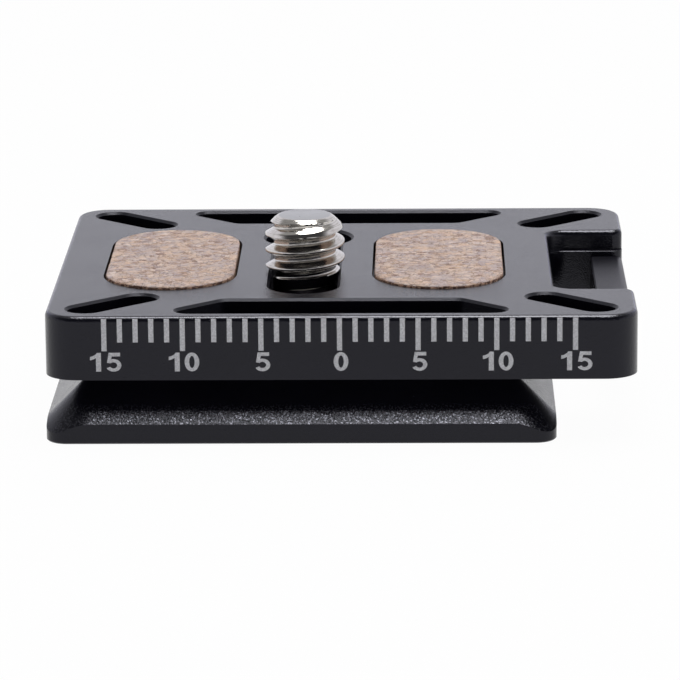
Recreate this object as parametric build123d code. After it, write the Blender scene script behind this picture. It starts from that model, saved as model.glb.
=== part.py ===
from build123d import *
import math
import os

# Tripod quick release plate with a captive camera screw. Millimetres, +Z up.
# The origin is the centre of the deck in plan, at the underside of the dovetail.
# +X runs along the deck towards the strap bar and -Y is the face with the scale.

# Deck, the wide top of the plate
DECK_LENGTH = 44.0
DECK_WIDTH = 38.0
DECK_THICKNESS = 4.8
DECK_CORNER_RADIUS = 2.5
DECK_EDGE_RADIUS = 0.4
RECESS_EDGE_CHAMFER = 0.2
EDGE_BREAK = 0.1

# Four-way dovetail under the deck, square in plan and flush with the deck's left end
DOVETAIL_SIDE = 38.0
LIP_HEIGHT = 1.5
FLANK_HEIGHT = 2.7
FLANK_ANGLE = 45.0
NECK_HEIGHT = 0.7
LIP_CORNER_RADIUS = 1.6
NECK_CORNER_RADIUS = 0.6

# Strap notch at the right end, with a sunken bar across its mouth
NOTCH_LENGTH = 20.0
NOTCH_DEPTH = 6.0
NOTCH_CORNER_RADIUS = 1.5
NOTCH_MOUTH_RADIUS = 0.8
NOTCH_LEDGE_DROP = 1.55
NOTCH_LEDGE_WIDTH = 0.5
NOTCH_LEDGE_BREAK = 0.05
BAR_WIDTH = 2.55
BAR_DROP = 2.0
BAR_EDGE_RADIUS = 0.5

# Blind recesses that lighten the deck
RECESS_DEPTH = 2.0
DIAGONAL_ANGLE = 42.4
EDGE_RECESS_SETBACK = 1.2
EDGE_RECESS_WIDTH = 4.55
EDGE_RECESS_INNER_LENGTH = 17.7
EDGE_RECESS_CORNER_RADIUS = 1.0
CORNER_SLOT_SETBACK_X = 3.0
CORNER_SLOT_SETBACK_Y = 2.8
CORNER_SLOT_RUN = 5.05
CORNER_SLOT_WIDTH = 2.8

# Cork pads, set in pockets either side of the screw
PAD_WIDTH = 10.0
PAD_LENGTH = 20.3
PAD_THICKNESS = 1.5
PAD_PROUD = 0.2
PAD_SPACING = 20.6
PAD_CLEARANCE = 0.12

# Camera screw, captive in a keyhole slot
THREAD_RADIUS = 3.1
THREAD_REACH = 4.3
THREAD_END_RADIUS = 2.37
THREAD_END_CHAMFER = 0.8
SHANK_RADIUS = 2.5
HEAD_RADIUS = 5.4
HEAD_THICKNESS = 1.8
HEAD_EDGE_CHAMFER = 0.3
BOSS_RADIUS = 2.8
BOSS_EDGE_CHAMFER = 0.6
BOSS_SETBACK = 0.5
SCREW_REST_Y = -3.3

# Keyhole slot and the channel under it in which the screw's head travels
SLOT_FRONT_Y = -8.9
SLOT_REAR_Y = 8.0
SLOT_CLEARANCE = 0.1
HOLE_CLEARANCE = 0.3
SEAT_THICKNESS = 2.8
SEAT_CLEARANCE = 0.1
CHANNEL_CLEARANCE = 0.4

# Friction washer between the screw's head and the plate
WASHER_RADIUS = 5.0
WASHER_THICKNESS = 0.5
WASHER_BORE_CLEARANCE = 0.1
AXIAL_PLAY = 0.25
FACE_GAP = 0.05

# Folding D-ring that turns the screw by hand
RING_WIRE_RADIUS = 0.9
RING_PIVOT_CLEARANCE = 0.08
RING_PIVOT_RISE = 1.5
RING_SIDE_GAP = 0.7
RING_REACH = 4.2
RING_BOW_RADIUS = 3.4
RING_BAR_RADIUS = 1.2

# Heights above the foot
FLANK_TOP = LIP_HEIGHT + FLANK_HEIGHT
DECK_BOTTOM = FLANK_TOP + NECK_HEIGHT
DECK_TOP = DECK_BOTTOM + DECK_THICKNESS
SEAT_BOTTOM = DECK_TOP - SEAT_THICKNESS
WASHER_BOTTOM = SEAT_BOTTOM - AXIAL_PLAY - WASHER_THICKNESS
HEAD_TOP = WASHER_BOTTOM - FACE_GAP
HEAD_BOTTOM = HEAD_TOP - HEAD_THICKNESS
RING_PIVOT_Z = BOSS_SETBACK + RING_PIVOT_RISE

# Places in plan
DECK_RIGHT_X = DECK_LENGTH / 2
DOVETAIL_X = (DOVETAIL_SIDE - DECK_LENGTH) / 2
NOTCH_X = DECK_RIGHT_X - NOTCH_DEPTH
SLOT_HALF_WIDTH = SHANK_RADIUS + SLOT_CLEARANCE
SLOT_RUN = SLOT_REAR_Y - SLOT_FRONT_Y
SLOT_MID_Y = (SLOT_FRONT_Y + SLOT_REAR_Y) / 2
RING_HALF_WIDTH = BOSS_RADIUS + RING_SIDE_GAP + RING_WIRE_RADIUS
BOW_CENTRE_OFFSET = math.hypot(RING_HALF_WIDTH - RING_BOW_RADIUS, RING_REACH - RING_BOW_RADIUS)
RING_SWEEP_RADIUS = BOW_CENTRE_OFFSET + RING_BOW_RADIUS + RING_WIRE_RADIUS
CHANNEL_RADIUS = max(HEAD_RADIUS, RING_SWEEP_RADIUS) + CHANNEL_CLEARANCE


def prism(outline, bottom, top):
    """Solid of a plan outline between two heights."""
    return extrude(Pos(0, 0, bottom) * outline, amount=top - bottom)


def deck_outline(notch_half_length):
    """Plan of the deck, open at its right end where the strap notch is."""
    half_width = DECK_WIDTH / 2
    outline = make_face(
        Polyline(
            (-DECK_RIGHT_X, -half_width),
            (DECK_RIGHT_X, -half_width),
            (DECK_RIGHT_X, -notch_half_length),
            (NOTCH_X, -notch_half_length),
            (NOTCH_X, notch_half_length),
            (DECK_RIGHT_X, notch_half_length),
            (DECK_RIGHT_X, half_width),
            (-DECK_RIGHT_X, half_width),
            close=True,
        )
    )
    outline = Sketch() + outline
    at_notch = [v for v in outline.vertices() if math.isclose(v.X, NOTCH_X)]
    outline = fillet(at_notch, NOTCH_CORNER_RADIUS)
    at_mouth = [v for v in outline.vertices() if math.isclose(abs(v.Y), notch_half_length)]
    at_mouth = [v for v in at_mouth if math.isclose(v.X, DECK_RIGHT_X)]
    outline = fillet(at_mouth, NOTCH_MOUTH_RADIUS)
    at_corner = [v for v in outline.vertices() if math.isclose(abs(v.Y), half_width)]
    return fillet(at_corner, DECK_CORNER_RADIUS)


def deck():
    """Deck slab, whose notch is a little longer above its ledges than below them."""
    ledge_top = DECK_TOP - NOTCH_LEDGE_DROP
    lower = prism(deck_outline(NOTCH_LENGTH / 2 - NOTCH_LEDGE_WIDTH), DECK_BOTTOM, ledge_top)
    lower = chamfer(lower.faces().sort_by(Axis.Z)[-1].edges(), NOTCH_LEDGE_BREAK)
    upper = prism(deck_outline(NOTCH_LENGTH / 2), ledge_top - NOTCH_LEDGE_BREAK, DECK_TOP)
    return lower + upper


def strap_way():
    """Way for the strap below the notch, which stays open where the dovetail reaches under it."""
    gap = NOTCH_DEPTH - BAR_WIDTH
    plan = Pos(NOTCH_X + gap / 2, 0) * Rectangle(gap, NOTCH_LENGTH - 2 * NOTCH_LEDGE_WIDTH)
    return prism(plan, 0, DECK_BOTTOM)


def top_edges(bar):
    """Highest edges along a bar, from its inner side outwards."""
    return bar.edges().filter_by(Axis.Y).group_by(Axis.Z)[-1].sort_by(Axis.X)


def strap_bar():
    """Bar across the mouth of the notch, round outside and low enough for a strap to lie flush."""
    bar_top = DECK_TOP - BAR_DROP
    plan = Pos(DECK_RIGHT_X - BAR_WIDTH / 2, 0) * Rectangle(BAR_WIDTH, NOTCH_LENGTH)
    bar = prism(plan, DECK_BOTTOM, bar_top)
    bar = fillet(top_edges(bar)[-1], BAR_EDGE_RADIUS)
    return chamfer(top_edges(bar)[0], EDGE_BREAK)


def dovetail():
    """Square dovetail with sloping flanks on all four sides and conical corners."""
    spread = 1 / math.tan(math.radians(FLANK_ANGLE))
    neck_side = DOVETAIL_SIDE - 2 * FLANK_HEIGHT * spread
    flare = FLANK_TOP * spread
    flared_side = neck_side + 2 * flare
    flared_foot = RectangleRounded(flared_side, flared_side, NECK_CORNER_RADIUS + flare)
    flanks = extrude(flared_foot, amount=FLANK_TOP, taper=90 - FLANK_ANGLE)
    lip_block = prism(RectangleRounded(DOVETAIL_SIDE, DOVETAIL_SIDE, LIP_CORNER_RADIUS), 0, FLANK_TOP)
    lip_block = chamfer(lip_block.faces().sort_by(Axis.Z)[0].edges(), EDGE_BREAK)
    neck = prism(RectangleRounded(neck_side, neck_side, NECK_CORNER_RADIUS), FLANK_TOP, DECK_BOTTOM)
    return Pos(DOVETAIL_X, 0, 0) * ((flanks & lip_block) + neck)


def keyhole_outline():
    """Slot for the screw's shank, with a round hole at its rear end that lets the thread through."""
    slot = Rot(0, 0, 90) * SlotCenterToCenter(SLOT_RUN, 2 * SLOT_HALF_WIDTH)
    hole = Pos(0, SLOT_REAR_Y) * Circle(THREAD_RADIUS + HOLE_CLEARANCE)
    return Pos(DOVETAIL_X, 0) * (Pos(0, SLOT_MID_Y) * slot + hole)


def edge_recess_outline():
    """Trapezoid beside the front edge, with its long side outwards."""
    outer_y = EDGE_RECESS_SETBACK - DECK_WIDTH / 2
    inner_y = outer_y + EDGE_RECESS_WIDTH
    inner_half = EDGE_RECESS_INNER_LENGTH / 2
    outer_half = inner_half + EDGE_RECESS_WIDTH / math.tan(math.radians(DIAGONAL_ANGLE))
    outline = make_face(
        Polyline(
            (-outer_half, outer_y),
            (outer_half, outer_y),
            (inner_half, inner_y),
            (-inner_half, inner_y),
            close=True,
        )
    )
    outline = Sketch() + outline
    return fillet(outline.vertices(), EDGE_RECESS_CORNER_RADIUS)


def corner_slot_outline():
    """Diagonal slot in the front right corner of the deck."""
    turn = 180 - DIAGONAL_ANGLE
    outer_x = DECK_RIGHT_X - CORNER_SLOT_SETBACK_X
    outer_y = CORNER_SLOT_SETBACK_Y - DECK_WIDTH / 2
    slot = Pos(CORNER_SLOT_RUN / 2, 0) * SlotCenterToCenter(CORNER_SLOT_RUN, CORNER_SLOT_WIDTH)
    return Pos(outer_x, outer_y) * (Rot(0, 0, turn) * slot)


def deck_recesses():
    """All blind recesses in the deck, mirrored front to rear and left to right."""
    edge = edge_recess_outline()
    slot = corner_slot_outline()
    right_half = Sketch() + [slot, mirror(slot, Plane.XZ)]
    outlines = [edge, mirror(edge, Plane.XZ), right_half, mirror(right_half, Plane.YZ)]
    return [prism(outline, DECK_TOP - RECESS_DEPTH, DECK_TOP) for outline in outlines]


def pad_outline(side, growth):
    """Plan of a cork pad on one side of the screw, grown all round by a clearance."""
    width = PAD_WIDTH + 2 * growth
    length = PAD_LENGTH + 2 * growth
    return Pos(DOVETAIL_X + side * PAD_SPACING / 2, 0) * (Rot(0, 0, 90) * SlotOverall(length, width))


def pad_heights():
    """Underside and top of a cork pad."""
    pad_top = DECK_TOP + PAD_PROUD
    return pad_top - PAD_THICKNESS, pad_top


def plate_body():
    """The milled plate: deck, strap bar and dovetail in one piece, with all its recesses."""
    body = deck() + strap_bar() + (dovetail() - strap_way())
    body -= deck_recesses()
    body -= prism(keyhole_outline(), SEAT_BOTTOM, DECK_TOP)
    top = body.faces().sort_by(Axis.Z)[-1]
    rims = [edge for wire in top.inner_wires() for edge in wire.edges()]
    body = chamfer(rims, RECESS_EDGE_CHAMFER)
    top = body.faces().sort_by(Axis.Z)[-1]
    body = fillet(top.outer_wire().edges(), DECK_EDGE_RADIUS)
    pocket_floor, pad_top = pad_heights()
    body -= [prism(pad_outline(side, PAD_CLEARANCE), pocket_floor, pad_top) for side in (-1, 1)]
    channel = Rot(0, 0, 90) * SlotCenterToCenter(SLOT_RUN, 2 * CHANNEL_RADIUS)
    return body - prism(Pos(DOVETAIL_X, SLOT_MID_Y) * channel, 0, SEAT_BOTTOM)


def cork_pad(side):
    """Cork pad that grips the camera's base."""
    return prism(pad_outline(side, 0), *pad_heights())


def camera_screw():
    """Turned screw: boss, head, shank and stud, whose run-out hangs in the slot's chamfer."""
    seat_radius = SLOT_HALF_WIDTH + RECESS_EDGE_CHAMFER - SEAT_CLEARANCE
    stud_top = DECK_TOP + THREAD_REACH
    half_section = make_face(
        Polyline(
            (0, BOSS_SETBACK),
            (BOSS_RADIUS - BOSS_EDGE_CHAMFER, BOSS_SETBACK),
            (BOSS_RADIUS, BOSS_SETBACK + BOSS_EDGE_CHAMFER),
            (BOSS_RADIUS, HEAD_BOTTOM),
            (HEAD_RADIUS - HEAD_EDGE_CHAMFER, HEAD_BOTTOM),
            (HEAD_RADIUS, HEAD_BOTTOM + HEAD_EDGE_CHAMFER),
            (HEAD_RADIUS, HEAD_TOP),
            (SHANK_RADIUS, HEAD_TOP),
            (SHANK_RADIUS, DECK_TOP + SHANK_RADIUS - seat_radius),
            (THREAD_RADIUS, DECK_TOP + THREAD_RADIUS - seat_radius),
            (THREAD_RADIUS, stud_top - THREAD_END_CHAMFER),
            (THREAD_END_RADIUS, stud_top),
            (0, stud_top),
            close=True,
        )
    )
    turned = revolve(Plane.XZ * half_section, Axis.Z)
    pivot_radius = RING_WIRE_RADIUS + RING_PIVOT_CLEARANCE
    pivot = Pos(0, 0, RING_PIVOT_Z) * (Rot(0, 90, 0) * Cylinder(pivot_radius, 2 * HEAD_RADIUS))
    return Pos(DOVETAIL_X, SCREW_REST_Y, 0) * (turned - pivot)


def screw_washer():
    """Thin washer round the shank, which slides along the channel with the screw."""
    ring = Circle(WASHER_RADIUS) - Circle(SHANK_RADIUS + WASHER_BORE_CLEARANCE)
    washer = prism(ring, WASHER_BOTTOM, WASHER_BOTTOM + WASHER_THICKNESS)
    return Pos(DOVETAIL_X, SCREW_REST_Y, 0) * washer


def d_ring():
    """Closed D of round wire, folded flat towards the rear, with its bar through the screw's boss."""
    path = FilletPolyline(
        (0, 0),
        (RING_HALF_WIDTH, 0),
        (RING_HALF_WIDTH, RING_REACH),
        (0, RING_REACH),
        radius=[RING_BAR_RADIUS, RING_BOW_RADIUS],
    )
    right_half = sweep(Plane(path @ 0, z_dir=path % 0) * Circle(RING_WIRE_RADIUS), path=path)
    ring = right_half + mirror(right_half, Plane.YZ)
    return Pos(DOVETAIL_X, SCREW_REST_Y, RING_PIVOT_Z) * ring


def main():
    """Writes one STEP file for each piece."""
    pieces = {
        "plate_body": plate_body(),
        "cork_pad_left": cork_pad(-1),
        "cork_pad_right": cork_pad(1),
        "camera_screw": camera_screw(),
        "screw_washer": screw_washer(),
        "d_ring": d_ring(),
    }
    os.makedirs("parts", exist_ok=True)
    for name, piece in pieces.items():
        export_step(piece, f"parts/{name}.step")


main()
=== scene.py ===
import logging
import math
from abc import ABC, abstractmethod
from dataclasses import dataclass, field, replace
from enum import Enum
from typing import Any, Iterable, Mapping, Sequence, Union

import bmesh
import bpy
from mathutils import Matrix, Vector, noise


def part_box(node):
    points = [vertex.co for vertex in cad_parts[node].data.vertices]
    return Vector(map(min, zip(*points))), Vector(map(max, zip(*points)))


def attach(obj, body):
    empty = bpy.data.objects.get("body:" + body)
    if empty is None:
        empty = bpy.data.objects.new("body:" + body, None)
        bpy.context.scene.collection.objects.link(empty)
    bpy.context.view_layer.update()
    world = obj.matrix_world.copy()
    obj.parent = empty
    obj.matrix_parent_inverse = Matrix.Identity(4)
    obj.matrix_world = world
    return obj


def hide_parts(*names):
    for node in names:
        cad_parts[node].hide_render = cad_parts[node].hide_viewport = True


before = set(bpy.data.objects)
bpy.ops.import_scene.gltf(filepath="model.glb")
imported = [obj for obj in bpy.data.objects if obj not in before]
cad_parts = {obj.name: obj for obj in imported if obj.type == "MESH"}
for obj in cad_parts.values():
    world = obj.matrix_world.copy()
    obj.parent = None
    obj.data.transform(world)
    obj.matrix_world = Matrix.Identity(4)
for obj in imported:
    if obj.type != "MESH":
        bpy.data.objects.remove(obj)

LOG = logging.getLogger("quick_release_plate")
MM = 0.001
MERGE = 1e-8
NEAR = 1e-7

Colour = tuple[float, float, float, float]
Point2 = tuple[float, float]
Corner = tuple[float, float, float]
Span = tuple[float, float]
Face = tuple[Point2, ...]
BMesh = bmesh.types.BMesh


class Body(Enum):
    """Rigid bodies that carry pieces made here."""

    PLATE = "plate"
    SCREW = "screw"


class Slot(Enum):
    """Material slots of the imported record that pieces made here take."""

    CORK = "cork"
    SCREW = "screw"


class Axis(Enum):
    """Axes of the part's frame."""

    X = "X"
    Y = "Y"
    Z = "Z"


class Ray(Enum):
    """Kinds of ray that a Light Path node tells apart."""

    CAMERA = "Is Camera Ray"
    GLOSSY = "Is Glossy Ray"
    TRANSMISSION = "Is Transmission Ray"


class Maths(Enum):
    """Operations of a Math or a Vector Math node."""

    ADD = "ADD"
    SUBTRACT = "SUBTRACT"
    MULTIPLY = "MULTIPLY"
    ABSOLUTE = "ABSOLUTE"


class Signal:
    """A shader socket that takes part in Python arithmetic by adding Math nodes."""

    def __init__(self, graph: "Graph", socket: bpy.types.NodeSocket) -> None:
        """Keeps the socket and the graph that it belongs to."""
        self.graph = graph
        self.socket = socket

    def __add__(self, other: "Operand") -> "Signal":
        """Sum of this value and another."""
        return self.graph.maths(Maths.ADD, self, other)

    def __radd__(self, other: "Operand") -> "Signal":
        """Sum of a number and this value."""
        return self.graph.maths(Maths.ADD, other, self)

    def __sub__(self, other: "Operand") -> "Signal":
        """This value less another."""
        return self.graph.maths(Maths.SUBTRACT, self, other)

    def __mul__(self, other: "Operand") -> "Signal":
        """Product of this value and another."""
        return self.graph.maths(Maths.MULTIPLY, self, other)

    def __rmul__(self, other: "Operand") -> "Signal":
        """Product of a number and this value."""
        return self.graph.maths(Maths.MULTIPLY, other, self)

    def __abs__(self) -> "Signal":
        """This value without its sign."""
        return self.graph.maths(Maths.ABSOLUTE, self, 0.0)

    def along(self, axis: Axis) -> "Signal":
        """This vector's part along one axis."""
        return self.graph.node("ShaderNodeSeparateXYZ", None, {"Vector": self}, output=axis.value)

    def ease(self, low: float, high: float) -> "Signal":
        """Smooth step of this value.

        Args:
            low: Value that gives 0.
            high: Value that gives 1, which may be the lower number.

        Returns:
            The eased value, from 0 to 1.
        """
        settings = {"interpolation_type": "SMOOTHSTEP"}
        sockets = {"Value": self, "From Min": low, "From Max": high}
        return self.graph.node("ShaderNodeMapRange", settings, sockets)

    def within(self, rise: Span, fall: Span) -> "Signal":
        """Smooth window of this value, from 0 to 1 over one span and back to 0 over the other."""
        return self.ease(*rise) * self.ease(*fall)


Operand = Union[Signal, float]


class Graph:
    """Node tree of one material or of the world, filled by expressions."""

    def __init__(self, tree: bpy.types.NodeTree) -> None:
        """Empties the tree and keeps it."""
        tree.nodes.clear()
        self.tree = tree

    def node(
        self,
        kind: str,
        settings: Mapping[str, Any] | None = None,
        sockets: Mapping[Union[str, int], Any] | None = None,
        output: Union[str, int] = 0,
    ) -> Signal:
        """Adds a node of any type.

        Args:
            kind: Blender's name for the node's type.
            settings: Properties, set before the sockets. A ramp's stops are under "stops".
            sockets: Values or links of input sockets, by name or number.
            output: Output socket that is handed back.

        Returns:
            The chosen output.
        """
        made = self.tree.nodes.new(kind)
        for name, value in (settings or {}).items():
            if name == "stops":
                self._set_stops(made.color_ramp, value)
            else:
                setattr(made, name, value)
        for key, value in (sockets or {}).items():
            if isinstance(value, Signal):
                self.tree.links.new(value.socket, made.inputs[key])
            else:
                made.inputs[key].default_value = value
        return Signal(self, made.outputs[output]) if made.outputs else Signal(self, made.inputs[0])

    @staticmethod
    def _set_stops(ramp: bpy.types.ColorRamp, stops: Sequence[tuple[float, Colour]]) -> None:
        """Gives a colour ramp its stops.

        Args:
            ramp: The ramp of a new node, which has two stops.
            stops: Position and colour of each stop, in rising order.
        """
        while len(ramp.elements) < len(stops):
            ramp.elements.new(1.0)
        for element, (position, colour) in zip(ramp.elements, stops):
            element.position = position
            element.color = colour

    def maths(self, operation: Maths, first: Operand, second: Operand) -> Signal:
        """Adds a Math node for two values."""
        return self.node("ShaderNodeMath", {"operation": operation.value}, {0: first, 1: second})

    def vector(self, operation: Maths, first: Signal, second: Signal | Corner) -> Signal:
        """Adds a Vector Math node for two vectors."""
        return self.node("ShaderNodeVectorMath", {"operation": operation.value}, {0: first, 1: second})

    def blend(self, factor: Operand, first: Any, second: Any) -> Signal:
        """Mixes two colours or links to colours, the first at factor 0 and the second at 1."""
        settings = {"data_type": "RGBA", "clamp_factor": True}
        return self.node("ShaderNodeMix", settings, {0: factor, 6: first, 7: second}, output=2)

    def mix(self, factor: Signal, first: Signal, second: Signal) -> Signal:
        """Mixes two shaders, the first at factor 0 and the second at 1."""
        return self.node("ShaderNodeMixShader", None, {0: factor, 1: first, 2: second})

    def place(self) -> Signal:
        """Position on the piece, in metres in the part's frame."""
        return self.node("ShaderNodeTexCoord", output="Object")

    def stretched(self, scale: Corner) -> Signal:
        """Position on the piece, scaled along each axis."""
        return self.node("ShaderNodeMapping", None, {"Vector": self.place(), "Scale": scale})

    def facing(self) -> Signal:
        """Which way the piece's surface faces in the part's frame."""
        return self.node("ShaderNodeTexCoord", output="Normal")

    def ray(self, kind: Ray) -> Signal:
        """1 for rays of one kind and 0 for all others."""
        return self.node("ShaderNodeLightPath", output=kind.value)

    def grain(self, size_mm: float, detail: float = 2.0, where: Signal | None = None) -> Signal:
        """Noise around 0.5 with features of a real size, at the piece's own place if none is given."""
        sockets = {"Vector": where or self.place(), "Scale": 1 / (size_mm * MM), "Detail": detail}
        return self.node("ShaderNodeTexNoise", None, sockets)

    def relief(self, height: Signal, depth_mm: float, strength: float = 1.0) -> Signal:
        """Bumped normal from a height between 0 and 1 and its real depth."""
        sockets = {"Height": height, "Distance": depth_mm * MM, "Strength": strength}
        return self.node("ShaderNodeBump", None, sockets)

    def principled(self, sockets: Mapping[str, Any]) -> Signal:
        """Principled shader with the given sockets."""
        return self.node("ShaderNodeBsdfPrincipled", None, sockets)


class Finish(ABC):
    """A surface finish, which makes its own material the first time it is asked for."""

    title: str

    def material(self) -> bpy.types.Material:
        """Material of this finish.

        Returns:
            The one material that all pieces of this finish share.
        """
        found = bpy.data.materials.get(self.title)
        if found is not None:
            return found
        made = bpy.data.materials.new(self.title)
        made.use_nodes = True
        graph = Graph(made.node_tree)
        graph.node("ShaderNodeOutputMaterial", None, {"Surface": self.shade(graph)})
        return made

    @abstractmethod
    def shade(self, graph: Graph) -> Signal:
        """Wires the finish.

        Args:
            graph: Empty graph of the new material.

        Returns:
            The surface shader.
        """


@dataclass(frozen=True)
class PlateZones:
    """Regions of the plate with a look of their own, each as a share from 0 to 1."""

    flanks: Signal
    clamped: Signal
    rims: Signal
    cuts: Signal
    bar: Signal


@dataclass(frozen=True)
class BlackAnodised(Finish):
    """Black anodised aluminium: a satin blasted skin, with painted glints on the flanks and at rounded
    edges.
    """

    title: str = "black_anodised"
    deep: Colour = (0.0038, 0.0037, 0.0068, 1.0)
    faded: Colour = (0.0060, 0.0058, 0.0102, 1.0)
    sheen: Colour = (0.90, 0.90, 1.0, 1.0)
    # Painted glints: metallic specks, low on the flanks where the lamp's highlight falls.
    glint: Colour = (0.090, 0.090, 0.102, 1.0)
    # Painted highlight: metallic colour on rounded top edges whose slope faces the lamp.
    rim: Colour = (0.050, 0.050, 0.054, 1.0)
    index: float = 1.36
    roughness: float = 0.19
    dye_roughness: float = 0.03
    blast_roughness: float = 0.25
    cut_roughness: float = 0.22
    bar_roughness: float = 0.20
    dye_mm: float = 6.0
    dye_span: Span = (0.3, 0.7)
    blast_mm: float = 0.12
    blast_span: Span = (0.45, 0.75)
    blast_depth_mm: float = 0.022
    flank_depth: float = 0.4
    flank_blast_mm: float = 0.145
    flank_blast_span: Span = (0.52, 0.66)
    flank_top: float = 4.9 * MM
    glint_top: float = 2.8 * MM
    glint_fade: float = 0.6 * MM
    rim_z: float = 9.2 * MM
    bar_x: float = 19.4 * MM
    border: float = 0.1 * MM
    upward_span: Span = (0.3, 0.5)
    side_span: Span = (0.38, 0.70)
    rim_slopes: tuple[Span, Span] = ((0.72, 0.76), (0.93, 0.87))
    cut_slopes: tuple[Span, Span] = ((0.66, 0.69), (0.75, 0.72))

    def shade(self, graph: Graph) -> Signal:
        """Wires blasted grain, slow dye variation, painted flank glints and painted edge highlights.

        Args:
            graph: Empty graph of the new material.

        Returns:
            The surface shader.
        """
        blast = graph.grain(self.blast_mm, 1.5)
        dye = graph.grain(self.dye_mm, 3.0).ease(*self.dye_span)
        zones = self._zones(graph)
        # Painted glints: the speckled metallic band low on the front and back flanks.
        glints = zones.clamped * graph.grain(self.flank_blast_mm, 1.0).ease(*self.flank_blast_span)
        fading = dye * 0.5 + blast.ease(*self.blast_span) * 0.5
        skin = graph.blend(glints, graph.blend(fading, self.deep, self.faded), self.glint)
        satin = self.roughness + (dye - 0.5) * self.dye_roughness + (blast - 0.5) * self.blast_roughness
        return graph.principled(
            {
                # Painted highlight: rounded top edges take the brighter metallic rim colour.
                "Base Color": graph.blend(zones.rims, skin, self.rim),
                "Metallic": glints + zones.rims,
                "Roughness": satin + zones.cuts * self.cut_roughness + zones.bar * self.bar_roughness,
                "IOR": self.index,
                "Specular Tint": self.sheen,
                "Normal": graph.relief(blast * (1 + zones.flanks * self.flank_depth), self.blast_depth_mm),
            }
        )

    def _zones(self, graph: Graph) -> PlateZones:
        """Tells the plate's regions apart by where they lie and which way they face.

        Args:
            graph: Graph of the material.

        Returns:
            Flanks of the dovetail and their lower band that takes the painted glints, the deck's rounded
            top edges that take a painted highlight, its top edges cut at 45 degrees, and the top of the
            strap bar.
        """
        upward = graph.facing().along(Axis.Z)
        height = graph.place().along(Axis.Z)
        raised = upward.ease(*self.upward_span)
        flanks = raised * height.ease(self.flank_top, self.flank_top - self.border)
        sides = abs(graph.facing().along(Axis.Y)).ease(*self.side_span)
        # Band low on the front and back flanks for the painted glints, where the lamp's highlight falls.
        worn = sides * height.ease(self.glint_top, self.glint_top - self.glint_fade)
        top = height.ease(self.rim_z - self.border, self.rim_z)
        over = (self.flank_top, self.flank_top + self.border)
        sunk = height.within(over, (self.rim_z, self.rim_z - self.border))
        right = graph.place().along(Axis.X).ease(self.bar_x - self.border, self.bar_x)
        return PlateZones(
            flanks=flanks,
            clamped=flanks * worn,
            # Painted highlight band: rounded top edges at slopes that face the lamp.
            rims=upward.within(*self.rim_slopes) * top,
            cuts=upward.within(*self.cut_slopes) * top,
            bar=right * raised * sunk,
        )


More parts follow.
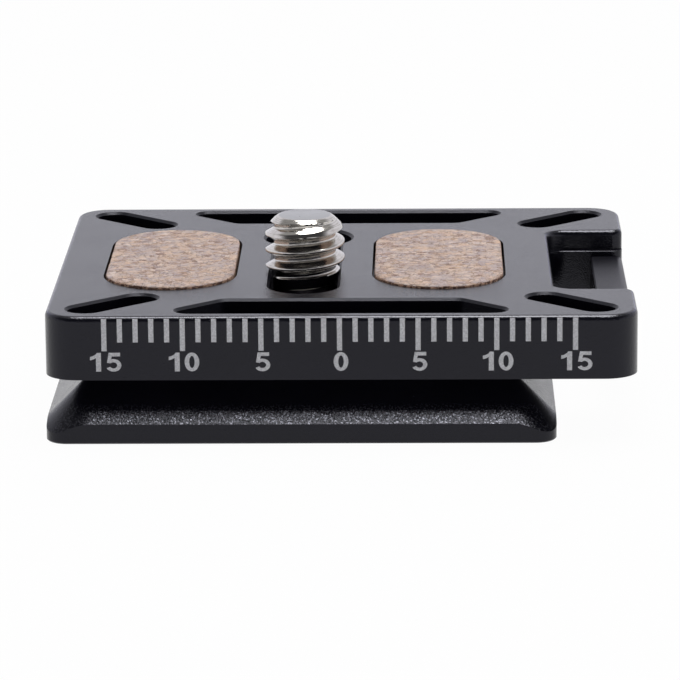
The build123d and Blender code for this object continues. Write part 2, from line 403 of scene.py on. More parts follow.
@dataclass(frozen=True)
class GroundCork(Finish):
    """Fine pressed cork: peach, cream and lilac-grey grains of mixed size, with brown pores, and painted
    shade on its sides.
    """

    title: str = "ground_cork"
    granule_mm: float = 0.50
    crumb_mm: float = 0.25
    fibre_mm: float = 0.13
    wander_mm: float = 0.30
    lump_mm: float = 0.30
    patch_mm: float = 1.3
    crack_mm: float = 1.1
    pore_mm: float = 0.9
    grains: tuple[tuple[float, Colour], ...] = (
        (0.00, (0.225, 0.126, 0.086, 1.0)),
        (0.10, (0.400, 0.264, 0.201, 1.0)),
        (0.25, (0.560, 0.397, 0.310, 1.0)),
        (0.45, (0.492, 0.402, 0.403, 1.0)),
        (0.60, (0.625, 0.503, 0.451, 1.0)),
        (0.80, (0.688, 0.498, 0.366, 1.0)),
        (1.00, (0.770, 0.645, 0.572, 1.0)),
    )
    peach: Colour = (0.730, 0.508, 0.350, 1.0)
    lilac: Colour = (0.487, 0.418, 0.435, 1.0)
    pore: Colour = (0.090, 0.050, 0.036, 1.0)
    # Painted shade: dark brown for the pad's sides, with lighter flecks at random.
    bark: Colour = (0.130, 0.066, 0.044, 1.0)
    fleck: Colour = (0.560, 0.340, 0.230, 1.0)
    crumb_span: Span = (0.42, 0.66)
    peach_span: Span = (0.52, 0.70)
    lilac_span: Span = (0.48, 0.32)
    crack_span: Span = (0.40, 0.58)
    crack_edge: Span = (0.09, 0.0)
    pore_span: Span = (0.38, 0.60)
    pore_fibre: Span = (0.42, 0.28)
    lump_span: Span = (0.42, 0.60)
    side_span: Span = (0.80, 0.35)
    seam_span: Span = (0.0, 0.2)
    roughness: float = 0.80
    fibre_roughness: float = 0.15
    index: float = 1.40
    depth_mm: float = 0.07

    def shade(self, graph: Graph) -> Signal:
        """Wires grains, pores and painted shade on the sides.

        Args:
            graph: Empty graph of the new material.

        Returns:
            The surface shader.
        """
        moved = self._moved(graph)
        seams = {"Vector": moved, "Scale": 1 / (self.granule_mm * MM)}
        edge = graph.node("ShaderNodeTexVoronoi", {"feature": "DISTANCE_TO_EDGE"}, seams)
        fibre = graph.grain(self.fibre_mm, 3.0)
        granules = self._cells(graph, moved, self.granule_mm)
        crumbs = self._cells(graph, moved, self.crumb_mm)
        toned = self._toned(graph, graph.blend(fibre.ease(*self.crumb_span), granules, crumbs))
        cracks = edge.ease(*self.crack_edge) * graph.grain(self.crack_mm).ease(*self.crack_span)
        pores = fibre.ease(*self.pore_fibre) * graph.grain(self.pore_mm).ease(*self.pore_span)
        spotted = graph.blend(pores * 0.95 + cracks * 0.55, toned, self.pore)
        # Painted shade on the sides: surfaces that face away from up take the dark side colour.
        shaded_side = graph.blend(graph.grain(self.lump_mm).ease(*self.lump_span), self.bark, self.fleck)
        side = graph.facing().along(Axis.Z).ease(*self.side_span)
        height = fibre * 0.6 + edge.ease(*self.seam_span) * 0.4
        return graph.principled(
            {
                "Base Color": graph.blend(side, spotted, shaded_side),
                "Roughness": self.roughness + (fibre - 0.5) * self.fibre_roughness,
                "IOR": self.index,
                "Normal": graph.relief(height, self.depth_mm),
            }
        )

    def _moved(self, graph: Graph) -> Signal:
        """Warps the position by noise, so that the grains are ragged.

        Args:
            graph: Graph of the material.

        Returns:
            The warped position.
        """
        place = graph.place()
        drift = {"Vector": place, "Scale": 1 / (self.wander_mm * MM), "Detail": 2.0}
        wander = graph.node("ShaderNodeTexNoise", None, drift, output="Color")
        reach = {0: wander, "Scale": self.wander_mm * MM}
        shift = graph.node("ShaderNodeVectorMath", {"operation": "SCALE"}, reach)
        return graph.vector(Maths.ADD, place, shift)

    def _toned(self, graph: Graph, mixed: Signal) -> Signal:
        """Lays warm and cool patches over the grains.

        Args:
            graph: Graph of the material.
            mixed: The grains' colour.

        Returns:
            The colour with its patches.
        """
        patch = graph.grain(self.patch_mm, 3.0)
        warm = graph.blend(patch.ease(*self.peach_span) * 0.5, mixed, self.peach)
        return graph.blend(patch.ease(*self.lilac_span) * 0.45, warm, self.lilac)

    def _cells(self, graph: Graph, where: Signal, size_mm: float) -> Signal:
        """Grains of one size, each with a colour of its own.

        Args:
            graph: Graph of the material.
            where: Warped position.
            size_mm: Size of a grain.

        Returns:
            The grains' colour.
        """
        sockets = {"Vector": where, "Scale": 1 / (size_mm * MM)}
        tint = graph.node("ShaderNodeTexVoronoi", None, sockets, output="Color")
        lot = graph.node("ShaderNodeSeparateColor", None, {"Color": tint})
        return graph.node("ShaderNodeValToRGB", {"stops": self.grains}, {"Fac": lot})


@dataclass(frozen=True)
class BrightNickel(Finish):
    """Bright nickel on turned steel, with tool marks and slight tarnish."""

    title: str = "bright_nickel"
    colour: Colour = (0.60, 0.575, 0.535, 1.0)
    worn: Colour = (0.40, 0.375, 0.34, 1.0)
    faced: Colour = (0.345, 0.345, 0.34, 1.0)
    roughness: float = 0.125
    mark_roughness: float = 0.10
    tarnish_roughness: float = 0.05
    end_roughness: float = 0.16
    mark_mm: float = 0.30
    mark_stretch: Corner = (0.25, 0.25, 3.0)
    mark_span: Span = (0.42, 0.66)
    mark_depth_mm: float = 0.006
    tarnish_mm: float = 0.7
    tarnish_span: Span = (0.42, 0.72)
    ring_mm: float = 0.09
    ring_span: Span = (0.45, 0.60)
    axis: Corner = (-3.0 * MM, -3.3 * MM, 0.0)
    end_z: float = 13.985 * MM
    end_fade: float = 0.01 * MM

    def shade(self, graph: Graph) -> Signal:
        """Wires marks along and around the axis, tarnish and the duller end face.

        Args:
            graph: Empty graph of the new material.

        Returns:
            The surface shader.
        """
        marks = graph.grain(self.mark_mm, 3.0, graph.stretched(self.mark_stretch))
        tarnish = graph.grain(self.tarnish_mm, 4.0).ease(*self.tarnish_span)
        rings = self._rings(graph).ease(*self.ring_span)
        end = graph.place().along(Axis.Z).ease(self.end_z, self.end_z + self.end_fade)
        wear = tarnish * 0.35 + marks.ease(*self.mark_span) * 0.25 + rings * 0.45
        plated = graph.blend(wear, self.colour, self.worn)
        turned = self.roughness + (marks - 0.5) * self.mark_roughness + tarnish * self.tarnish_roughness
        return graph.principled(
            {
                "Base Color": graph.blend(end, plated, self.faced),
                "Metallic": 1.0,
                "Roughness": turned + end * self.end_roughness,
                "Normal": graph.relief(marks, self.mark_depth_mm),
            }
        )

    def _rings(self, graph: Graph) -> Signal:
        """Fine rings about the screw's axis, left by turning.

        Args:
            graph: Graph of the material.

        Returns:
            A value around 0.5.
        """
        offset = graph.vector(Maths.SUBTRACT, graph.place(), self.axis)
        across = graph.vector(Maths.MULTIPLY, offset, (1.0, 1.0, 0.0))
        radius = graph.node("ShaderNodeVectorMath", {"operation": "LENGTH"}, {0: across}, output="Value")
        sockets = {"W": radius, "Scale": 1 / (self.ring_mm * MM), "Detail": 2.0}
        return graph.node("ShaderNodeTexNoise", {"noise_dimensions": "1D"}, sockets)


@dataclass(frozen=True)
class DrawnWire(Finish):
    """Stainless wire with the fine lines of its drawing die."""

    title: str = "drawn_wire"
    colour: Colour = (0.60, 0.59, 0.575, 1.0)
    dull: Colour = (0.47, 0.465, 0.455, 1.0)
    roughness: float = 0.24
    line_roughness: float = 0.14
    patch_roughness: float = 0.06
    line_mm: float = 0.16
    line_stretch: Corner = (0.2, 2.0, 2.0)
    line_depth_mm: float = 0.004
    patch_mm: float = 2.2
    patch_span: Span = (0.4, 0.7)

    def shade(self, graph: Graph) -> Signal:
        """Wires fine lines and duller patches.

        Args:
            graph: Empty graph of the new material.

        Returns:
            The surface shader.
        """
        lines = graph.grain(self.line_mm, 2.0, graph.stretched(self.line_stretch))
        patch = graph.grain(self.patch_mm).ease(*self.patch_span)
        drawn = self.roughness + (lines - 0.5) * self.line_roughness
        return graph.principled(
            {
                "Base Color": graph.blend(patch, self.colour, self.dull),
                "Metallic": 1.0,
                "Roughness": drawn + patch * self.patch_roughness,
                "Normal": graph.relief(lines, self.line_depth_mm, 0.6),
            }
        )


@dataclass(frozen=True)
class BlackNylon(Finish):
    """Punched black nylon sheet."""

    title: str = "black_nylon"
    colour: Colour = (0.018, 0.018, 0.019, 1.0)
    scuffed: Colour = (0.045, 0.045, 0.047, 1.0)
    roughness: float = 0.46
    scuff_roughness: float = 0.12
    grain_roughness: float = 0.1
    index: float = 1.52
    scuff_mm: float = 0.9
    scuff_span: Span = (0.52, 0.72)
    grain_mm: float = 0.14
    grain_depth_mm: float = 0.006

    def shade(self, graph: Graph) -> Signal:
        """Wires scuffs and a slight grain.

        Args:
            graph: Empty graph of the new material.

        Returns:
            The surface shader.
        """
        scuff = graph.grain(self.scuff_mm, 4.0).ease(*self.scuff_span)
        grain = graph.grain(self.grain_mm)
        used = self.roughness + scuff * self.scuff_roughness
        return graph.principled(
            {
                "Base Color": graph.blend(scuff, self.colour, self.scuffed),
                "Roughness": used + (grain - 0.5) * self.grain_roughness,
                "IOR": self.index,
                "Normal": graph.relief(grain, self.grain_depth_mm, 0.5),
            }
        )


@dataclass(frozen=True)
class LaserMark(Finish):
    """Pale grey marking, where a laser has bleached the dye."""

    title: str = "laser_mark"
    colour: Colour = (0.75, 0.75, 0.76, 1.0)
    thin: Colour = (0.56, 0.56, 0.57, 1.0)
    roughness: float = 0.62
    mottle_roughness: float = 0.1
    mottle_mm: float = 0.13
    mottle_span: Span = (0.35, 0.68)
    mottle_depth_mm: float = 0.004

    def shade(self, graph: Graph) -> Signal:
        """Wires the mottle of overlapping laser passes.

        Args:
            graph: Empty graph of the new material.

        Returns:
            The surface shader.
        """
        mottle = graph.grain(self.mottle_mm, 3.0).ease(*self.mottle_span)
        return graph.principled(
            {
                "Base Color": graph.blend(mottle, self.thin, self.colour),
                "Roughness": self.roughness + (mottle - 0.5) * self.mottle_roughness,
                "Normal": graph.relief(mottle, self.mottle_depth_mm, 0.5),
            }
        )


@dataclass(frozen=True)
class PaleFloor(Finish):
    """Matt floor, white to the camera and in metal, which keeps a soft shadow and is clear from below."""

    title: str = "pale_floor"
    colour: Colour = (0.86, 0.86, 0.86, 1.0)
    light: Colour = (0.88, 0.88, 0.88, 1.0)
    white: Colour = (1.0, 1.0, 1.0, 1.0)
    white_share: float = 0.97
    roughness: float = 0.9
    shine: float = 0.1
    tooth_mm: float = 3.0

    def shade(self, graph: Graph) -> Signal:
        """Wires a diffuse floor that is mostly plain white to camera and mirror rays.

        Args:
            graph: Empty graph of the new material.

        Returns:
            The surface shader.
        """
        matt = graph.principled(
            {
                "Base Color": graph.blend(graph.grain(self.tooth_mm), self.colour, self.light),
                "Roughness": self.roughness,
                "Specular IOR Level": self.shine,
            }
        )
        plain = graph.node("ShaderNodeEmission", None, {"Color": self.white, "Strength": 1.0})
        seen = graph.ray(Ray.CAMERA) + graph.ray(Ray.GLOSSY) + graph.ray(Ray.TRANSMISSION)
        upper = graph.mix(seen * self.white_share, matt, plain)
        lower = graph.node("ShaderNodeBsdfTransparent")
        beneath = graph.node("ShaderNodeNewGeometry", output="Backfacing")
        return graph.mix(beneath, upper, lower)


class Shop:
    """Helpers that turn mesh data into pieces of the part."""

    @staticmethod
    def piece(name: str, mesh: BMesh, finish: Finish, smooth_deg: float = 35.0) -> bpy.types.Object:
        """Makes an object of a finished bmesh.

        Args:
            name: Name of the piece.
            mesh: Its mesh, in metres in the part's frame, which is freed.
            finish: Its finish.
            smooth_deg: Edges sharper than this stay sharp.

        Returns:
            The new object, linked to the scene.
        """
        bmesh.ops.recalc_face_normals(mesh, faces=mesh.faces)
        data = bpy.data.meshes.new(name)
        mesh.to_mesh(data)
        mesh.free()
        data.materials.append(finish.material())
        data.shade_smooth()
        data.set_sharp_from_angle(angle=math.radians(smooth_deg))
        made = bpy.data.objects.new(name, data)
        bpy.context.scene.collection.objects.link(made)
        LOG.info("%s: %d faces", name, len(data.polygons))
        return made

    @staticmethod
    def dress(node: str, finish: Finish) -> None:
        """Gives a CAD node its finish.

        Args:
            node: Name of the node.
            finish: Finish for all its faces.
        """
        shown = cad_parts[node]
        for slot in shown.material_slots:
            slot.material = finish.material()
        LOG.info("%s: dressed as %s", node, finish.title)

    @staticmethod
    def ring_faces(mesh: BMesh, first: Sequence[Any], second: Sequence[Any]) -> None:
        """Joins two closed rings of vertices by quads.

        Args:
            mesh: Mesh that holds both rings.
            first: Vertices of one ring.
            second: As many vertices of the next ring.
        """
        count = len(first)
        for here in range(count):
            ahead = (here + 1) % count
            mesh.faces.new((first[here], first[ahead], second[ahead], second[here]))


@dataclass
class Numerals:
    """Bold plain figures for the scale, in units of the figure's height."""

    stroke: float = 0.215
    gap: float = 0.25

    def width(self, figure: str) -> float:
        """Width of one figure."""
        return {"0": 0.76, "1": 0.565, "5": 0.80}[figure]

    def outlines(self, figure: str) -> list[list[Face]]:
        """Flat faces of one figure, in groups that join."""
        makers = {"0": self._nought, "1": self._one, "5": self._five}
        return makers[figure]()

    def _nought(self) -> list[list[Face]]:
        """An upright oval ring.

        Returns:
            Its faces, in one group.
        """
        half = self.width("0") / 2
        outer = self._oval((half, 0.5), (half, 0.5), 0, 360, 48)
        inner = self._oval((half, 0.5), (half - self.stroke * 1.12, 0.5 - self.stroke * 0.82), 0, 360, 48)
        return [self._band(outer, inner)]

    def _one(self) -> list[list[Face]]:
        """A stem with a short flag.

        Returns:
            Both faces, in one group.
        """
        stem = ((0.305, 0.0), (0.565, 0.0), (0.565, 1.0), (0.36, 1.0), (0.305, 0.92), (0.305, 0.72))
        flag = ((0.0, 0.60), (0.17, 0.645), (0.305, 0.72), (0.305, 0.92), (0.15, 0.82), (0.0, 0.785))
        return [[stem, flag]]

    def _five(self) -> list[list[Face]]:
        """A top bar, a stem and an open bowl in one outline.

        Returns:
            One face.
        """
        centre = (0.395, 0.33)
        bowl = (0.405, 0.335)
        hollow = (bowl[0] - self.stroke, bowl[1] - self.stroke * 0.80)
        outer = self._oval(centre, bowl, 107, -152, 40)
        inner = self._oval(centre, hollow, -152, 140, 40)
        bar = [(0.155, 1.0), (0.745, 1.0), (0.745, 0.81), (0.315, 0.81)]
        return [[tuple(reversed([*bar, *outer, *inner, (0.06, 0.475)]))]]

    @staticmethod
    def _oval(centre: Point2, radii: Point2, start: float, end: float, steps: int) -> list[Point2]:
        """Points along an oval between two angles in degrees."""
        angles = [math.radians(start + (end - start) * step / steps) for step in range(steps + 1)]
        return [(centre[0] + radii[0] * math.cos(a), centre[1] + radii[1] * math.sin(a)) for a in angles]

    @staticmethod
    def _band(outer: Sequence[Point2], inner: Sequence[Point2]) -> list[Face]:
        """Quads between two lines of points."""
        steps = range(len(outer) - 1)
        return [(outer[i], outer[i + 1], inner[i + 1], inner[i]) for i in steps]


@dataclass
class FrontScale:
    """Scale on the front face of the deck: ticks from its top edge, and a figure under each long one."""

    numerals: Numerals
    zero_x: float = -0.08 * MM
    pitch: float = 1.15942 * MM
    reach: int = 15
    every: int = 5
    tick_width: float = 0.38 * MM
    tick_drop: float = 0.15 * MM
    short_drop: float = 1.92 * MM
    long_drop: float = 2.58 * MM
    figure_drop: float = 2.70 * MM
    figure_height: float = 1.43 * MM
    figure_shift: float = 0.10 * MM
    proud: float = 0.004 * MM
    sunk: float = 0.06 * MM

    def build(self, finish: Finish) -> bpy.types.Object:
        """Makes the whole scale as one thin piece.

        Args:
            finish: Finish of the marking.

        Returns:
            The piece, riding on the plate.
        """
        low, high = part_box("plate_body")
        front_y = low.y - self.proud
        top_z = high.z
        half = self.tick_width / 2
        mesh = bmesh.new()
        for count in range(-self.reach, self.reach + 1):
            x = self.zero_x + count * self.pitch
            is_long = count % self.every == 0
            foot = -self.long_drop if is_long else -self.short_drop
            head = -self.tick_drop
            tick = ((x - half, foot), (x + half, foot), (x + half, head), (x - half, head))
            self._mark(mesh, [tick], front_y, top_z)
            if is_long:
                self._number(mesh, str(abs(count)), x + self.figure_shift, front_y, top_z)
        piece = Shop.piece("front_scale", mesh, finish, smooth_deg=20.0)
        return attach(piece, Body.PLATE.value)

    def _number(self, mesh: BMesh, text: str, middle_x: float, front_y: float, top_z: float) -> None:
        """Adds one number, centred under its tick.

        Args:
            mesh: Mesh of the scale.
            text: The number.
            middle_x: Where its middle goes.
            front_y: Depth of the marking's face.
            top_z: Height of the deck's top.
        """
        gaps = self.numerals.gap * (len(text) - 1)
        total = sum(self.numerals.width(figure) for figure in text) + gaps
        left = middle_x - total / 2 * self.figure_height
        foot = -self.figure_drop - self.figure_height
        for figure in text:
            for group in self.numerals.outlines(figure):
                scaled = [
                    tuple((left + u * self.figure_height, foot + v * self.figure_height) for u, v in face)
                    for face in group
                ]
                self._mark(mesh, scaled, front_y, top_z)
            left += (self.numerals.width(figure) + self.numerals.gap) * self.figure_height

    def _mark(self, mesh: BMesh, faces: Iterable[Face], front_y: float, top_z: float) -> None:
        """Adds a thin closed slab with the given flat faces.

        Args:
            mesh: Mesh of the scale.
            faces: Faces as corners across and below the deck's top edge.
            front_y: Depth of the marking's face.
            top_z: Height of the deck's top.
        """
        made = []
        for face in faces:
            corners = [mesh.verts.new((x, front_y, top_z + drop)) for x, drop in face]
            made.append(mesh.faces.new(corners))
        corners = list({corner for face in made for corner in face.verts})
        bmesh.ops.remove_doubles(mesh, verts=corners, dist=MERGE)
        kept = [face for face in made if face.is_valid]
        grown = bmesh.ops.extrude_face_region(mesh, geom=kept)
        moved = [item for item in grown["geom"] if isinstance(item, bmesh.types.BMVert)]
        bmesh.ops.translate(mesh, verts=moved, vec=Vector((0.0, self.proud + self.sunk, 0.0)))


@dataclass
class Plate:
    """The milled plate with the scale on its front face."""

    finish: Finish
    marking: Finish
    scale: FrontScale

    def build(self) -> None:
        """Dresses the plate and adds its scale."""
        Shop.dress("plate_body", self.finish)
        self.scale.build(self.marking)


@dataclass
class CorkPad:
    """A cork pad with eased edges and a granular top."""

    node: str
    finish: Finish
    arc_steps: int = 84
    side_steps: int = 62
    ring_step: float = 0.16 * MM
    edge: float = 0.15 * MM
    shrink: float = 0.06 * MM
    ragged: float = 0.09 * MM
    granule: float = 0.55 * MM
    pit: float = 0.05 * MM
    edge_share: float = 0.3
    nick_rate: float = 1.4
    lie_rate: float = 0.7
    seam_width: float = 0.25

    def build(self) -> bpy.types.Object:
        """Makes the pad in the place of its CAD solid.

        Returns:
            The piece, riding on the plate.
        """
        low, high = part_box(self.node)
        centre = (low + high) / 2
        run = (high.y - low.y - high.x + low.x) / 2
        radius = (high.x - low.x) / 2 - self.shrink
        insets = [(0.0, low.z), (0.0, (low.z + high.z) / 2), (0.0, high.z - self.edge)]
        eased = self.edge_share * self.edge
        insets += [(eased, high.z - eased), (self.edge, high.z)]
        steps = int((radius - self.edge) / self.ring_step)
        insets += [(self.edge + (radius - self.edge) * (i + 1) / steps, high.z) for i in range(steps)]
        mesh = bmesh.new()
        rings = []
        for inset, height in insets:
            spots = [Vector((x, y, 0.0)) + centre for x, y in self._outline(radius - inset, run)]
            worn = [self._worn(spot, centre, inset, height, high.z) for spot in spots]
            rings.append([mesh.verts.new(place) for place in worn])
        for first, second in zip(rings, rings[1:]):
            Shop.ring_faces(mesh, first, second)
        mesh.faces.new(rings[0])
        bmesh.ops.remove_doubles(mesh, verts=rings[-1] + rings[-2], dist=NEAR)
        bmesh.ops.dissolve_degenerate(mesh, edges=mesh.edges, dist=MERGE)
        piece = Shop.piece(self.node + "_granular", mesh, self.finish, smooth_deg=60.0)
        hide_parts(self.node)
        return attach(piece, Body.PLATE.value)

    def _outline(self, radius: float, run: float) -> list[Point2]:
        """Points of a slot-shaped outline about its centre.

        Args:
            radius: Radius of its round ends.
            run: Half the length of its straight sides.

        Returns:
            Points, anticlockwise from the right side's lower end.
        """
        points = [(radius, run * (2 * i / self.side_steps - 1)) for i in range(self.side_steps)]
        turn = [math.pi * i / self.arc_steps for i in range(self.arc_steps)]
        points += [(radius * math.cos(a), run + radius * math.sin(a)) for a in turn]
        points += [(-radius, run * (1 - 2 * i / self.side_steps)) for i in range(self.side_steps)]
        points += [(-radius * math.cos(a), -run - radius * math.sin(a)) for a in turn]
        return points

    def _worn(self, spot: Vector, centre: Vector, inset: float, height: float, top: float) -> Corner:
        """Place of a vertex, with the ragged side and the pits between granules.

        Args:
            spot: Plain place across the plate.
            centre: Middle of the pad.
            inset: How far the place lies inside the pad's side.
            height: Plain height.
            top: Height of the pad's top.

        Returns:
            The place, never outside the plain pad.
        """
        cell = Vector((spot.x, spot.y, 0.0)) / self.granule
        nicked = Vector((cell.x * self.nick_rate, cell.y * self.nick_rate, height / self.granule))
        nick = max(0.0, noise.noise(nicked)) * self.ragged
        inward = Vector((centre.x - spot.x, centre.y - spot.y))
        if inset <= self.edge and inward.length > 0:
            spot = spot + inward.normalized().to_3d() * nick
        if height < top:
            return (spot.x, spot.y, height)
        near, far = noise.voronoi(cell)[0][:2]
        seam = max(0.0, 1.0 - (far - near) / self.seam_width)
        lie = 0.5 + 0.5 * noise.noise(cell * self.lie_rate)
        return (spot.x, spot.y, height - self.pit * (0.5 * seam * seam + 0.5 * lie))


@dataclass
class CameraScrew:
    """Captive camera screw: cross-drilled boss, head, shank and a right-hand thread."""

    finish: Finish
    crest: float = 3.06 * MM
    root: float = 2.37 * MM
    pitch: float = 1.27 * MM
    crest_flat: float = 0.19 * MM
    flank_slope: float = math.sqrt(3.0)
    easing: float = 0.07 * MM
    phase_z: float = 10.655 * MM
    shank: float = 2.5 * MM
    head: float = 5.4 * MM
    head_bottom: float = 4.3 * MM
    head_top: float = 6.1 * MM
    head_chamfer: float = 0.3 * MM
    head_edge: float = 0.1 * MM
    boss: float = 2.8 * MM
    boss_chamfer: float = 0.6 * MM
    thread_foot: float = 7.0 * MM
    groove_low: float = 8.2 * MM
    groove_high: float = 9.0 * MM
    runout_low: float = 9.5 * MM
    runout_high: float = 10.1 * MM
    end_cones: tuple[Point2, ...] = ((2.05 * MM, 1.3), (2.14 * MM, 0.95), (2.56 * MM, 0.35))
    end_round: float = 0.30 * MM
    pivot_z: float = 2.0 * MM
    pivot: float = 0.98 * MM
    pivot_sides: int = 40
    around: int = 144
    rows: int = 26
    axis: Vector = field(init=False, default_factory=Vector)

    def build(self) -> bpy.types.Object:
        """Makes the screw in the place of its CAD solid.

        Returns:
            The piece, riding on the screw's body.
        """
        low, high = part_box("camera_screw")
        self.axis = (low + high) / 2
        mesh = bmesh.new()
        self._turned_rings(mesh, low.z)
        self._thread(mesh, high.z)
        bmesh.ops.remove_doubles(mesh, verts=mesh.verts, dist=MERGE)
        bmesh.ops.dissolve_degenerate(mesh, edges=mesh.edges, dist=MERGE)
        self._close(mesh, high.z)
        piece = Shop.piece("camera_screw_threaded", mesh, self.finish, smooth_deg=32.0)
        self._drill(piece)
        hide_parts("camera_screw")
        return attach(piece, Body.SCREW.value)

    def _ring(self, mesh: BMesh, radius: float, z: float) -> list[bmesh.types.BMVert]:
        """One level ring of vertices about the screw's axis."""
        return [mesh.verts.new(self._at(radius, step / self.around, z)) for step in range(self.around)]

    def _at(self, radius: float, turn: float, z: float) -> Corner:
        """Place at a radius, a share of a turn and a height about the screw's axis."""
        angle = 2 * math.pi * turn
        return (self.axis.x + radius * math.cos(angle), self.axis.y + radius * math.sin(angle), z)

    def _turned_rings(self, mesh: BMesh, bottom: float) -> None:
        """Boss, head and shank.

        Args:
            mesh: Mesh of the screw.
            bottom: Height of the boss's end.
        """
        profile = [
            (self.boss - self.boss_chamfer, bottom),
            (self.boss, bottom + self.boss_chamfer),
            (self.boss, self.head_bottom),
            (self.head - self.head_chamfer, self.head_bottom),
            (self.head, self.head_bottom + self.head_chamfer),
            (self.head, self.head_top - self.head_edge),
            (self.head - self.head_edge, self.head_top),
            (self.shank, self.head_top),
            (self.shank, self.thread_foot),
        ]
        rings = [self._ring(mesh, radius, z) for radius, z in profile]
        for first, second in zip(rings, rings[1:]):
            Shop.ring_faces(mesh, first, second)
        mesh.faces.new(rings[0])

    def _thread(self, mesh: BMesh, top: float) -> None:
        """Threaded stud on rows that follow the helix, cut off by the end chamfer and the run-out.

        Args:
            mesh: Mesh of the screw.
            top: Height of the stud's end.
        """
        turns = math.ceil((top - self.thread_foot) / self.pitch) + 2
        start = self.phase_z - math.ceil((self.phase_z - self.thread_foot) / self.pitch + 1) * self.pitch
        grid = []
        for row in range(turns * self.rows + 1):
            along = row * self.pitch / self.rows
            line = []
            for step in range(self.around):
                turn = step / self.around
                z = min(max(start + along + self.pitch * turn, self.thread_foot), top)
                line.append(mesh.verts.new(self._at(self._radius(along, z, top), turn, z)))
            grid.append(line)
        for row in range(len(grid) - 1):
            for step in range(self.around):
                self._quad(mesh, grid, row, step)

    def _quad(self, mesh: BMesh, grid: Sequence[Sequence[Any]], row: int, step: int) -> None:
        """One face of the thread, where the seam joins a row to the one a pitch higher.

        Args:
            mesh: Mesh of the screw.
            grid: Vertices by row and step.
            row: Lower row.
            step: Left step.
        """
        if step + 1 < self.around:
            right = (grid[row][step + 1], grid[row + 1][step + 1])
        elif row + 1 + self.rows < len(grid):
            right = (grid[row + self.rows][0], grid[row + 1 + self.rows][0])
        else:
            return
        mesh.faces.new((grid[row][step], right[0], right[1], grid[row + 1][step]))

    def _radius(self, along: float, z: float, top: float) -> float:
        """Radius of the thread at a place.

        Args:
            along: Distance along the axis from a crest's helix.
            z: Height of the place.
            top: Height of the stud's end.

        Returns:
            The radius, within the stud's turned outline.
        """
        from_crest = abs((along + self.pitch / 2) % self.pitch - self.pitch / 2)
        flank = self.crest - (from_crest - self.crest_flat / 2) * self.flank_slope
        form = self._soft_low(self.crest, flank)
        fade = min(max((z - self.groove_low) / (self.groove_high - self.groove_low), 0.0), 1.0)
        form = -self._soft_low(-form, -(self.shank + (self.root - self.shank) * fade))
        cone = (z - self.runout_low) / (self.runout_high - self.runout_low)
        lower = self.shank + (self.crest - self.shank) * min(max(cone, 0.0), 1.0)
        if z <= self.thread_foot:
            return self.shank
        upper = self._end_radius(top - z)
        return upper if z >= top else min(form, lower, upper)

    def _end_radius(self, below: float) -> float:
        """Radius of the chamfered end, whose edge to the end face is rounded.

        Args:
            below: Depth below the end face.

        Returns:
            The radius.
        """
        face, slope = self.end_cones[0]
        lean = math.atan(slope)
        if below > self.end_round * (1 - math.sin(lean)):
            return min(self.crest, *(start + rise * below for start, rise in self.end_cones))
        middle = face - self.end_round * (1 - math.sin(lean)) / math.cos(lean)
        return middle + math.sqrt(self.end_round**2 - (self.end_round - below) ** 2)

    def _soft_low(self, first: float, second: float) -> float:
        """Lower of two lengths, with a rounded corner where they cross."""
        share = max(self.easing - abs(first - second), 0.0) / self.easing
        return min(first, second) - share * share * self.easing / 4

    def _close(self, mesh: BMesh, top: float) -> None:
        """Caps the stud's end.

        Args:
            mesh: Mesh of the screw.
            top: Height of the end.
        """
        loose = [edge for edge in mesh.edges if edge.is_boundary]
        rim = [edge for edge in loose if min(vertex.co.z for vertex in edge.verts) > top - NEAR]
        bmesh.ops.contextual_create(mesh, geom=rim)

    def _drill(self, piece: bpy.types.Object) -> None:
        """Bores the cross hole for the ring's bar through the boss.

        Args:
            piece: The finished screw.
        """
        mesh = bmesh.new()
        turns = [2 * math.pi * i / self.pivot_sides for i in range(self.pivot_sides)]
        rim = [(self.pivot * math.cos(a), self.pivot * math.sin(a)) for a in turns]
        ends = []
        for x in (self.axis.x - self.head, self.axis.x + self.head):
            ends.append([mesh.verts.new((x, self.axis.y + y, self.pivot_z + z)) for y, z in rim])
        Shop.ring_faces(mesh, ends[0], ends[1])
        mesh.faces.new(ends[0])
        mesh.faces.new(ends[1])
        cutter = Shop.piece("pivot_drill", mesh, self.finish)
        bore = piece.modifiers.new("pivot_bore", "BOOLEAN")
        bore.operation = "DIFFERENCE"
        bore.solver = "EXACT"
        bore.object = cutter
        bpy.context.view_layer.update()
        shaped = piece.evaluated_get(bpy.context.evaluated_depsgraph_get())
        data = bpy.data.meshes.new_from_object(shaped)
        piece.modifiers.remove(bore)
        piece.data = data
        bpy.data.objects.remove(cutter)


@dataclass
class HandTurn:
    """What turns and seats the screw from below: the washer and the D-ring."""

    washer: Finish
    wire: Finish

    def build(self) -> None:
        """Dresses both CAD pieces."""
        Shop.dress("screw_washer", self.washer)
        Shop.dress("d_ring", self.wire)


@dataclass
class Softbox:
    """A rectangular soft light that faces the plate."""

    name: str
    place: Corner
    size: Point2
    radiance: float
    glints_only: bool = False

    def build(self, target: Vector) -> None:
        """Adds the light.

        Args:
            target: Point that it faces.
        """
        lamp = bpy.data.lights.new(self.name, "AREA")
        lamp.shape = "RECTANGLE"
        lamp.size, lamp.size_y = self.size
        lamp.energy = self.radiance * math.pi * self.size[0] * self.size[1]
        made = bpy.data.objects.new(self.name, lamp)
        made.location = self.place
        made.visible_diffuse = not self.glints_only
        made.rotation_mode = "QUATERNION"
        made.rotation_quaternion = (target - Vector(self.place)).to_track_quat("-Z", "Y")
        bpy.context.scene.collection.objects.link(made)


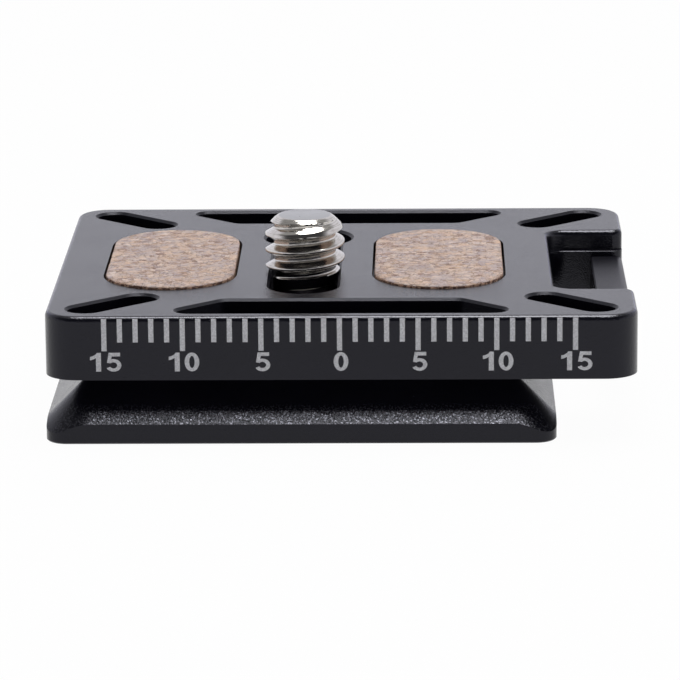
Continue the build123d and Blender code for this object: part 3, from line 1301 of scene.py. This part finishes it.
@dataclass
class Studio:
    """White floor and pale walls, soft light from above and the camera."""

    floor: Finish
    lights: tuple[Softbox, ...]
    eye: Corner = (6.30134 * MM, -333.42349 * MM, 85.52841 * MM)
    turn_deg: Corner = (76.137175, 0.444466, 1.045813)
    lens: float = 232.607
    sensor: float = 36.0
    target: Corner = (0.0, 0.0, 7.0 * MM)
    floor_half: float = 0.32
    floor_gap: float = 0.02 * MM
    wall_height: float = 0.45
    wall_slope: float = 0.40
    wall_fade: float = 0.12
    ceiling_span: Span = (-0.6, 0.3)
    white: Colour = (1.0, 1.0, 1.0, 1.0)
    wall: Colour = (0.94, 0.94, 1.03, 1.0)
    ceiling: Colour = (0.38, 0.38, 0.39, 1.0)
    behind_camera: Colour = (0.07, 0.07, 0.075, 1.0)

    def build(self) -> None:
        """Adds the floor, the surroundings, the lights and the camera."""
        self._floor()
        self._surroundings()
        for light in self.lights:
            light.build(Vector(self.target))
        self._camera()
        bpy.context.scene.view_settings.view_transform = "Standard"

    def _floor(self) -> None:
        """Adds the floor under the plate."""
        mesh = bmesh.new()
        half = self.floor_half
        low = -self.floor_gap
        corners = [(-half, -half, low), (half, -half, low), (half, half, low), (-half, half, low)]
        mesh.faces.new([mesh.verts.new(corner) for corner in corners])
        Shop.piece("studio_floor", mesh, self.floor)

    def _surroundings(self) -> None:
        """Pale walls, higher behind the plate than before it, under a dim ceiling."""
        world = bpy.data.worlds.new("studio")
        world.use_nodes = True
        bpy.context.scene.world = world
        graph = Graph(world.node_tree)
        direction = graph.node("ShaderNodeTexCoord", output="Generated")
        away = direction.along(Axis.Y)
        over = direction.along(Axis.Z) - (self.wall_height + self.wall_slope * away)
        colours = (self.behind_camera, self.ceiling, self.wall, self.white)
        behind, ceiling, wall, white = (self._glow(graph, colour) for colour in colours)
        top = graph.mix(away.ease(*self.ceiling_span), behind, ceiling)
        room = graph.mix(over.ease(-self.wall_fade, self.wall_fade), wall, top)
        shown = graph.mix(graph.ray(Ray.CAMERA), room, white)
        graph.node("ShaderNodeOutputWorld", None, {"Surface": shown})

    @staticmethod
    def _glow(graph: Graph, colour: Colour) -> Signal:
        """Plain background of one colour."""
        return graph.node("ShaderNodeBackground", None, {"Color": colour, "Strength": 1.0})

    def _camera(self) -> None:
        """Adds the camera at the photograph's viewing angle."""
        data = bpy.data.cameras.new("camera")
        data.lens = self.lens
        data.sensor_width = self.sensor
        made = bpy.data.objects.new("camera", data)
        made.location = self.eye
        made.rotation_euler = [math.radians(turn) for turn in self.turn_deg]
        bpy.context.scene.collection.objects.link(made)
        bpy.context.scene.camera = made


def main() -> None:
    """Builds the plate, its pads, its screw and the studio."""
    logging.basicConfig(level=logging.INFO, format="%(name)s %(message)s")
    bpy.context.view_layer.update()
    anodised = BlackAnodised()
    cork = GroundCork()
    Plate(anodised, LaserMark(), FrontScale(Numerals())).build()
    for node in ("cork_pad_left", "cork_pad_right"):
        CorkPad(node, cork).build()
    CameraScrew(BrightNickel()).build()
    HandTurn(BlackNylon(), DrawnWire()).build()
    overhead = Softbox("overhead", place=(0.027, 0.007, 0.337), size=(0.268, 0.176), radiance=4.3)
    glints = replace(overhead, name="glints", place=(0.027, 0.007, 0.336), radiance=6.5, glints_only=True)
    Studio(PaleFloor(), (overhead, glints)).build()


if __name__ == "__main__":
    main()
